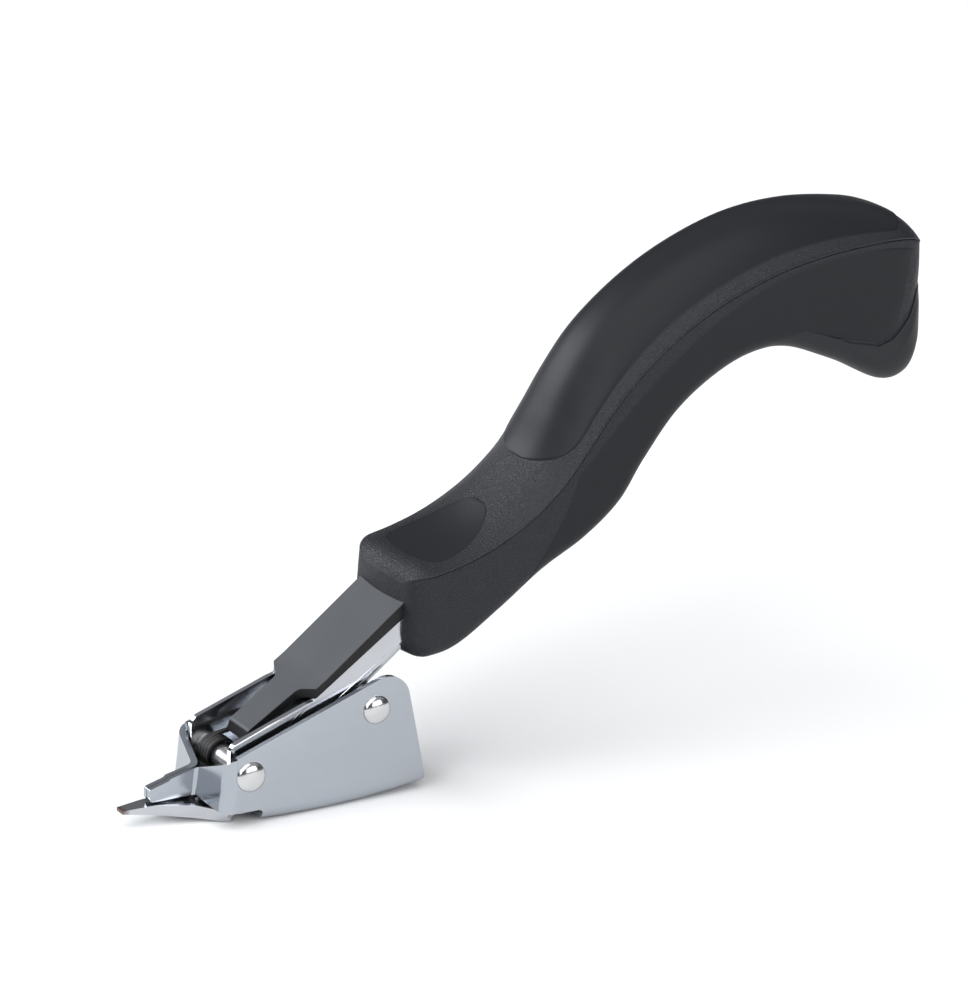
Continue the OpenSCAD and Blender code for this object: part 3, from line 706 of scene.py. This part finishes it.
def grip_skin(outline_at, folded=False):
    """Rings from the front face's middle, back along the grip, and in to the rear's middle.

    A folded front turns back inside the grip instead of having a face of its own."""
    first = Ring(0.0)
    front_edge = outline_at(first, 0.0)
    if folded:
        rings = [[first.point(y * 0.9, n - 0.4, -FOLD_BACK) for y, n in front_edge]]
    else:
        rings = [front_shaped(front_edge, 0.0, first, k / CAP_STEPS) for k in range(1, CAP_STEPS)]
    for s in grip_distances():
        ring = Ring(t_at(s))
        rings.append(front_shaped(outline_at(ring, s), s, ring))
    last = np.array(rings[-1])
    middle = last.mean(0)
    return rings + [middle + (last - middle) * k / CAP_STEPS for k in range(CAP_STEPS - 1, 0, -1)]


# Where the pommel's crease lies on the side: (t, n), and how deep the hollow over it is
CREASE = np.array([
    (9.3, -15.4), (10.31, -17.1), (10.97, -19.0), (11.83, -21.9), (12.25, -21.1), (13.06, -16.9),
    (13.82, -10.8), (15.0, -7.6), (16.0, -4.2)])
CREASE_HOLLOW = 0.45


def crease_n(t):
    return float(np.interp(t, CREASE[:, 0], CREASE[:, 1]))


def crease_hollow(ring, n):
    """The sides draw in a little just over the pommel's crease."""
    grown = smooth_step((ring.t - 9.6) / 1.6)
    return CREASE_HOLLOW * grown * math.exp(-((n - crease_n(ring.t)) / 3.4) ** 2)


def lip_drop(distance, y, half):
    """How far the top lip has rounded down at this distance from the front face."""
    return corner_inset(distance, FRONT_LIP) * (1 - LIP_AT_SIDES * abs(y / half) ** 6)


# Points down a side, round a sole's corner, half across the sole and over the top
SIDE_STEPS = 13
CORNER_STEPS = 9
SOLE_STEPS = 6
TOP_STEPS = 24
CROWN_STEPS = 48


def core_outline(ring, distance):
    """(y, n) round the core: down the right side, across the sole, up, and back under the cover."""
    inset = corner_inset(distance, FRONT_CORNER)
    under_share = smooth_step((distance - 2.0) / 6.0)
    half = ring.half - inset
    depth = ring.depth - inset * 0.9
    radius = sole_radius(half, depth)
    right = []
    shoulder = SHOULDER + lip_drop(distance, half, half)
    for k in range(SIDE_STEPS + 1):
        share = k / SIDE_STEPS
        n = -shoulder - (depth - radius - shoulder) * share
        swell = SIDE_SWELL * math.sin(math.pi * share)
        right.append((half + swell - crease_hollow(ring, n), n))
    right.insert(0, (half - SEAM_GROOVE, -shoulder))
    right[1] = (half, -shoulder - SEAM_GROOVE)
    for k in range(1, CORNER_STEPS + 1):
        turn = math.pi / 2 * k / CORNER_STEPS
        right.append((half - radius + radius * math.cos(turn), radius - depth - radius * math.sin(turn)))
    for k in range(1, SOLE_STEPS):
        y = (half - radius) * (1 - k / SOLE_STEPS)
        right.append((y, -depth - SOLE_CAMBER * (1 - (y / max(half - radius, 0.1)) ** 2)))
    left = [(-y, n) for y, n in reversed(right)]
    top = []
    for k in range(1, TOP_STEPS):
        y = -math.cos(math.pi * k / TOP_STEPS) * (half - 0.1)
        share = abs(y) / half
        under = (ring.crown - COVER_THICKNESS - inset * 0.5) * (1 - share ** CROWN_FULLNESS) - 0.3
        close = crown_n(ring, y, half) - lip_drop(distance, y, half) - 0.05
        top.append((y, close + (under - close) * under_share))
    return right + [(0.0, -depth - SOLE_CAMBER)] + left + top


def cover_outline(ring, distance):
    """(y, n) round the cover's shell: over the crown, round the lip and back underneath."""
    inset = corner_inset(distance, FRONT_CORNER)
    lip = SEAM_LIP * smooth_step(ring.s / 5.0) * (1 - smooth_step((ring.t - 13.5) / 2.0))
    half = ring.half - inset
    over = []
    for k in range(CROWN_STEPS + 1):
        y = -math.cos(math.pi * k / CROWN_STEPS) * half
        over.append((y, crown_n(ring, y, half) - lip_drop(distance, y, half)))
    low_edge = lip_drop(distance, half, half)
    edge = [(half + lip * 0.8, -0.06 - low_edge), (half + lip, -0.2 - low_edge),
            (half + lip * 0.7, -0.36 - low_edge)]
    under = []
    for k in range(1, TOP_STEPS):
        y = math.cos(math.pi * k / TOP_STEPS) * (half - 0.05)
        share = abs(y) / half
        low = (ring.crown - COVER_THICKNESS - inset * 0.5) * (1 - share ** CROWN_FULLNESS) - 0.28
        low -= low_edge
        under.append((y, low))
    return over + edge + under + [(-y, n) for y, n in reversed(edge)]


RINGS_PER_ROW = 11


def grip_distances():
    """Distances along the seam: close together round the front corners, then even to the back."""
    near = end_distances(FRONT_CORNER, 9)
    far = [SEAM_S[-1] * k / (RINGS_PER_ROW * LAST_ROW) for k in range(RINGS_PER_ROW * LAST_ROW + 1)]
    return near + [s for s in far if s > FRONT_CORNER - 0.1]


def make_grip_core(materials):
    piece = tube_of_rings("grip_core_body", grip_skin(core_outline))
    finish_piece(piece, "lever", "core_plastic", ("grip_core",), materials)


def make_top_cover(materials):
    piece = tube_of_rings("top_cover_shell", grip_skin(cover_outline, folded=True))
    finish_piece(piece, "lever", "grained_plastic", ("top_cover",), materials)


# ---- Pads on the grip ---------------------------------------------------------------------------
def lens_piece(name, point, lengths, widths):
    """A thin closed pad: an upper and a lower grid that meet along the rim.

    point(u, v, lift) gives a place for u and v from -1 to 1, and lift tells the two skins apart."""
    def spread(k, count):
        return math.sin(math.pi / 2 * (2 * k / count - 1))
    upper, lower, skins = {}, {}, []
    for i in range(lengths + 1):
        for j in range(widths + 1):
            u, v = spread(i, lengths), spread(j, widths)
            upper[i, j] = len(skins)
            skins.append(point(u, v, 1.0))
            if i in (0, lengths) or j in (0, widths):
                lower[i, j] = upper[i, j]
            else:
                lower[i, j] = len(skins)
                skins.append(point(u, v, -1.0))
    faces = []
    for i in range(lengths):
        for j in range(widths):
            corners = [(i, j), (i + 1, j), (i + 1, j + 1), (i, j + 1)]
            faces.append([upper[c] for c in corners])
            faces.append([lower[c] for c in reversed(corners)])
    piece = mesh_piece(name, placed(np.array(skins)), faces)
    outward(piece.data)
    return piece


# Pads: how proud they stand, how far their rims and undersides are sunk, the round at the rim
PAD_LIFT = 0.24
PAD_SUNK = 0.12
PAD_ROOT = 0.45
PAD_ROUND = 0.45


def pad_lift(u, v, lift, length, width, proud=PAD_LIFT, sunk=PAD_SUNK):
    """Height of a pad's skin: rounded over within a little of its rim, sunk at the rim itself."""
    if lift < 0:
        return -PAD_ROOT
    inward = min((1 - abs(u)) * length, (1 - abs(v)) * width)
    share = min(max(inward / PAD_ROUND, 0.0), 1.0)
    return -sunk + (proud + sunk) * math.sqrt(1 - (1 - share) ** 2)


def rim_share(u, front_power, rear_power):
    """Half width of a pad, as a share, at u from its front end to its rear end."""
    power = front_power if u < 0 else rear_power
    return max(1 - abs(u) ** power, 0.0) ** 0.5


def make_thumb_pad(materials):
    start, widest, end, half_width = 2.9, 7.6, 22.6, 10.7

    def point(u, v, lift):
        s = widest + u * (widest - start) if u < 0 else widest + u * (end - widest)
        wide = half_width * rim_share(u, 3.2, 1.8)
        ring = Ring(t_at(s))
        y = v * wide
        inward = pad_lift(u, v, lift, 7.0, max(wide, 0.01), 0.18)
        return ring.point(y, crown_n(ring, y, ring.wide) + inward - 0.1)
    piece = lens_piece("thumb_pad_skin", point, 60, 44)
    finish_piece(piece, "lever", "satin_plastic", ("thumb_pad",), materials)


INLAY_MARGIN = 1.35


def make_grip_inlay(materials):
    start, end = 33.4, float(np.interp(13.45, SEAM_T, SEAM_S))
    front, rear = 12.0, 6.5
    reach = (end - start) / 2
    lengths, widths = 220, 48

    def point(u, v, lift):
        s = (start + end) / 2 + reach * u
        from_front, from_rear = s - start, end - s
        share = 1.0
        if from_front < front:
            share = max(1 - (1 - from_front / front) ** 2.5, 0.0) ** 0.5
        if from_rear < rear:
            share = min(share, max(1 - (1 - from_rear / rear) ** 2.6, 0.0) ** 0.5)
        ring = Ring(t_at(s))
        wide = (ring.half - INLAY_MARGIN) * share
        y = v * wide
        inward = pad_lift(u, v, lift, reach, max(wide, 0.01))
        return ring.point(y, crown_n(ring, y, ring.half) + inward)
    piece = lens_piece("grip_inlay_skin", point, lengths, widths)
    finish_piece(piece, "lever", "satin_plastic", ("grip_inlay",), materials)


def side_y(ring, n):
    """Half width of the core at the depth n under the seam."""
    radius = sole_radius(ring.half, ring.depth)
    straight = ring.depth - radius
    share = min(max((-n - SHOULDER) / (straight - SHOULDER), 0.0), 1.0)
    wide = ring.half + SIDE_SWELL * math.sin(math.pi * share) - crease_hollow(ring, n)
    past = min(max(-n - straight, 0.0), radius)
    return wide - radius + math.sqrt(max(radius ** 2 - past ** 2, 0.0))


def make_side_panel(name, side, replaced, materials):
    def point(u, v, lift):
        down = (v + 1) / 2
        front = 4.55 - 2.0 * down ** 0.85
        rear = 13.3 - 0.9 * down
        t = front + (rear - front) * (u + 1) / 2
        ring = Ring(t)
        top = -1.3 - 2.2 * math.exp(-((t - 7.0) / 2.2) ** 2) - 0.9 * smooth_step((t - 11) / 2)
        low = 1.1 - ring.depth
        if t > CREASE[0, 0]:
            low = max(low, crease_n(t) + 0.7)
        n = top + (low - top) * down
        inward = pad_lift(u, v, lift, 50.0, 7.0, 0.09, 0.04)
        return ring.point(side * (side_y(ring, n) + inward * 0.8), n)
    piece = lens_piece(name, point, 170, 30)
    finish_piece(piece, "lever", "satin_plastic", (replaced,), materials)


POMMEL_SIDE_SHARE = 0.42


def lower_line(ring, crease, flare):
    """(y, n) from the right crease down, across the sole and up to the left one, grown by flare."""
    half = ring.half
    radius = sole_radius(half, ring.depth)
    line = []
    for k in range(13):
        n = crease + (radius - ring.depth - crease) * k / 12
        line.append((half, n, 1.0, 0.0))
    for k in range(1, 12):
        turn = math.pi / 2 * k / 11
        line.append((half - radius + radius * math.cos(turn),
                     radius - ring.depth - radius * math.sin(turn), math.cos(turn), -math.sin(turn)))
    for k in range(1, 7):
        line.append(((half - radius) * (1 - k / 6), -ring.depth, 0.0, -1.0))
    walked, out, previous = 0.0, [], line[0]
    for y, n, out_y, out_n in line:
        walked += math.hypot(y - previous[0], n - previous[1])
        previous = (y, n)
        grow = flare(walked)
        out.append((y + out_y * grow * POMMEL_SIDE_SHARE, n + out_n * grow))
    return out + [(-y, n) for y, n in reversed(out[:-1])]


def make_pommel(materials):
    rings = []
    for k in range(91):
        t = CREASE[0, 0] + (LAST_ROW - CREASE[0, 0]) * k / 90
        ring = Ring(t)
        radius = min(SOLE_ROUND, 0.4 * ring.depth)
        crease = max(crease_n(t), radius - ring.depth + 0.05)
        grown = smooth_step((t - CREASE[0, 0]) / 1.4)
        outer = lower_line(ring, crease,
                           lambda w: -0.04 + grown * (0.04 + 1.0 * smooth_step(w / 4.0)))
        inner = lower_line(ring, crease, lambda w: -0.9)
        rings.append([ring.point(y, n) for y, n in outer + inner[::-1]])
    piece = tube_of_rings("pommel_lobe", rings)
    finish_piece(piece, "lever", "pommel_plastic", ("pommel_pad",), materials)


# ---- Metal pieces -------------------------------------------------------------------------------
def make_sheet_metal(materials):
    for source, name, body, slot, ease in (
            ("jaw_frame", "jaw_frame_plate", "frame", "frame_chrome", 0.3),
            ("lever_channel", "lever_channel_plate", "lever", "lever_chrome", 0.22),
            ("cover_plate", "cover_plate_black", "lever", "blackened_steel", 0.16)):
        piece = eased_copy(source, name, ease * MM)
        finish_piece(piece, body, slot, (source,), materials, smooth=False)


# ---- Rivets and spring by Geometry Nodes ----------------------------------------------------------
def start_geometry(name, inputs):
    tree = bpy.data.node_groups.new(name, "GeometryNodeTree")
    tree.interface.new_socket("Geometry", in_out="INPUT", socket_type="NodeSocketGeometry")
    for label, kind, value in inputs:
        socket = tree.interface.new_socket(label, in_out="INPUT", socket_type=kind)
        if value is not None:
            socket.default_value = value
    tree.interface.new_socket("Geometry", in_out="OUTPUT", socket_type="NodeSocketGeometry")
    return tree, tree.nodes.new("NodeGroupInput"), tree.nodes.new("NodeGroupOutput")


def run_geometry(piece, tree, values):
    modifier = piece.modifiers.new(tree.name, "NODES")
    modifier.node_group = tree
    sockets = {item.name: item.identifier for item in tree.interface.items_tree
               if item.in_out == "INPUT"}
    for key, value in values.items():
        modifier[sockets[key]] = value
    frozen(piece)
    outward(piece.data)
    return piece


def make_rivet_tree():
    """A shank along Y with a domed head on each end."""
    tree, given, result = start_geometry("domed_rivet", (
        ("Head Radius", FLOAT, 0.003), ("Head Height", FLOAT, 0.0013), ("Shank Radius", FLOAT, 0.002),
        ("Grip", FLOAT, 0.0228), ("Centre", "NodeSocketVector", (0, 0, 0)),
        ("Finish", "NodeSocketMaterial", None)))
    ball = node(tree, "GeometryNodeMeshUVSphere", (("Segments", 64), ("Rings", 48), ("Radius", 1.0)))
    flat = node(tree, "ShaderNodeCombineXYZ",
                (("X", given.outputs["Head Radius"]), ("Y", given.outputs["Head Radius"]),
                 ("Z", given.outputs["Head Height"])))
    dome = node(tree, "GeometryNodeTransform", (("Geometry", ball.outputs[0]), ("Scale", flat.outputs[0])))
    half_grip = arithmetic(tree, "MULTIPLY", given.outputs["Grip"], 0.5)
    low_end = node(tree, "ShaderNodeCombineXYZ", (("Z", arithmetic(tree, "MULTIPLY", half_grip, -1.0)),))
    step = node(tree, "ShaderNodeCombineXYZ", (("Z", given.outputs["Grip"]),))
    ends = node(tree, "GeometryNodeMeshLine",
                (("Count", 2), ("Start Location", low_end.outputs[0]), ("Offset", step.outputs[0])))
    heads = node(tree, "GeometryNodeInstanceOnPoints",
                 (("Points", ends.outputs[0]), ("Instance", dome.outputs[0])))
    shank = node(tree, "GeometryNodeMeshCylinder",
                 (("Vertices", 48), ("Radius", given.outputs["Shank Radius"]),
                  ("Depth", given.outputs["Grip"])))
    joined = tree.nodes.new("GeometryNodeJoinGeometry")
    tree.links.new(heads.outputs[0], joined.inputs[0])
    tree.links.new(shank.outputs[0], joined.inputs[0])
    turned = node(tree, "GeometryNodeTransform",
                  (("Geometry", joined.outputs[0]), ("Translation", given.outputs["Centre"]),
                   ("Rotation", (math.pi / 2, 0, 0))))
    real = node(tree, "GeometryNodeRealizeInstances", ((0, turned.outputs[0]),))
    finish = node(tree, "GeometryNodeSetMaterial",
                  (("Geometry", real.outputs[0]), ("Material", given.outputs["Finish"])))
    tree.links.new(finish.outputs[0], result.inputs[0])
    return tree


def make_rivets(materials):
    tree = make_rivet_tree()
    frame_low, frame_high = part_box("jaw_frame")
    for source, name in (("pivot_rivet", "pivot_rivet_domed"), ("rear_rivet", "rear_rivet_domed")):
        low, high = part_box(source)
        piece = mesh_piece(name, [(0, 0, 0)], [])
        run_geometry(piece, tree, {
            "Head Radius": (high.x - low.x) / 2,
            "Head Height": high.y - frame_high.y,
            "Shank Radius": 2.0 * MM,
            "Grip": frame_high.y - frame_low.y,
            "Centre": tuple((low + high) / 2),
            "Finish": materials["rivet_chrome"]})
        finish_piece(piece, "frame", "rivet_chrome", (source,), materials)


def make_wire_tree():
    """Round wire along the path that it is given."""
    tree, given, result = start_geometry("round_wire", (
        ("Wire Radius", FLOAT, 0.0005), ("Finish", "NodeSocketMaterial", None)))
    path = node(tree, "GeometryNodeMeshToCurve", ((0, given.outputs["Geometry"]),))
    section = node(tree, "GeometryNodeCurvePrimitiveCircle",
                   (("Resolution", 16), ("Radius", given.outputs["Wire Radius"])))
    wire = node(tree, "GeometryNodeCurveToMesh",
                ((0, path.outputs[0]), (1, section.outputs[0]), ("Fill Caps", True)))
    real = node(tree, "GeometryNodeRealizeInstances", ((0, wire.outputs[0]),))
    finish = node(tree, "GeometryNodeSetMaterial",
                  (("Geometry", real.outputs[0]), ("Material", given.outputs["Finish"])))
    tree.links.new(finish.outputs[0], result.inputs[0])
    return tree


WIRE = 1.0
COIL_RADIUS = 3.1
COIL_PITCH = 1.1
COIL_START_Y = 1.2
COIL_TURNS = 4
FRONT_LEG_END = (1.8, -9.0)
REAR_LEG_END = (13.74, 5.03)


def leave_angle(end, sense):
    """Angle at which a straight leg to this end leaves the coil."""
    return math.atan2(end[1], end[0]) + sense * math.acos(COIL_RADIUS / math.hypot(*end))


def spring_path():
    first = leave_angle(FRONT_LEG_END, -1)
    sweep = leave_angle(REAR_LEG_END, 1) - first - 2 * math.pi * COIL_TURNS
    steps = 200
    rise = COIL_PITCH * abs(sweep) / (2 * math.pi)
    coil = [(COIL_RADIUS * math.cos(first + sweep * k / steps), COIL_START_Y + rise * k / steps,
             COIL_RADIUS * math.sin(first + sweep * k / steps)) for k in range(steps + 1)]
    front = [(FRONT_LEG_END[0] + (coil[0][0] - FRONT_LEG_END[0]) * k / 6, COIL_START_Y,
              FRONT_LEG_END[1] + (coil[0][2] - FRONT_LEG_END[1]) * k / 6) for k in range(6)]
    rear = [(coil[-1][0] + (REAR_LEG_END[0] - coil[-1][0]) * k / 8, COIL_START_Y + rise,
             coil[-1][2] + (REAR_LEG_END[1] - coil[-1][2]) * k / 8) for k in range(1, 9)]
    return placed(np.array(front + coil + rear)), rise


def make_spring(materials):
    path, rise = spring_path()
    mesh = bpy.data.meshes.new("return_spring_wire")
    mesh.from_pydata([tuple(p) for p in path], [(k, k + 1) for k in range(len(path) - 1)], [])
    piece = bpy.data.objects.new("return_spring_wire", mesh)
    bpy.context.scene.collection.objects.link(piece)
    run_geometry(piece, make_wire_tree(), {
        "Wire Radius": WIRE / 2 * MM, "Finish": materials["spring_steel"]})
    piece.data.shade_smooth()
    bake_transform(piece)
    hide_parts("return_spring")


def finish_small_parts(materials):
    for name, slot in (
            ("rear_spacer", "plain_steel"), ("pivot_washer_left", "plain_steel"),
            ("pivot_washer_right", "plain_steel"), ("pivot_bush", "plain_steel"),
            ("tang_block", "block_plastic"), ("tang_pin_front", "plain_steel"),
            ("tang_pin_rear", "plain_steel")):
        part = frame["nodes"][name]
        part.data.materials.clear()
        part.data.materials.append(materials[slot])


# ---- Scene --------------------------------------------------------------------------------------
def main():
    make_camera()
    make_light()
    make_floor()
    materials = make_materials()
    make_sheet_metal(materials)
    make_rivets(materials)
    make_spring(materials)
    finish_small_parts(materials)
    make_grip_core(materials)
    make_top_cover(materials)
    make_thumb_pad(materials)
    make_grip_inlay(materials)
    make_side_panel("side_panel_right_skin", 1, "side_panel_right", materials)
    make_side_panel("side_panel_left_skin", -1, "side_panel_left", materials)
    make_pommel(materials)


main()
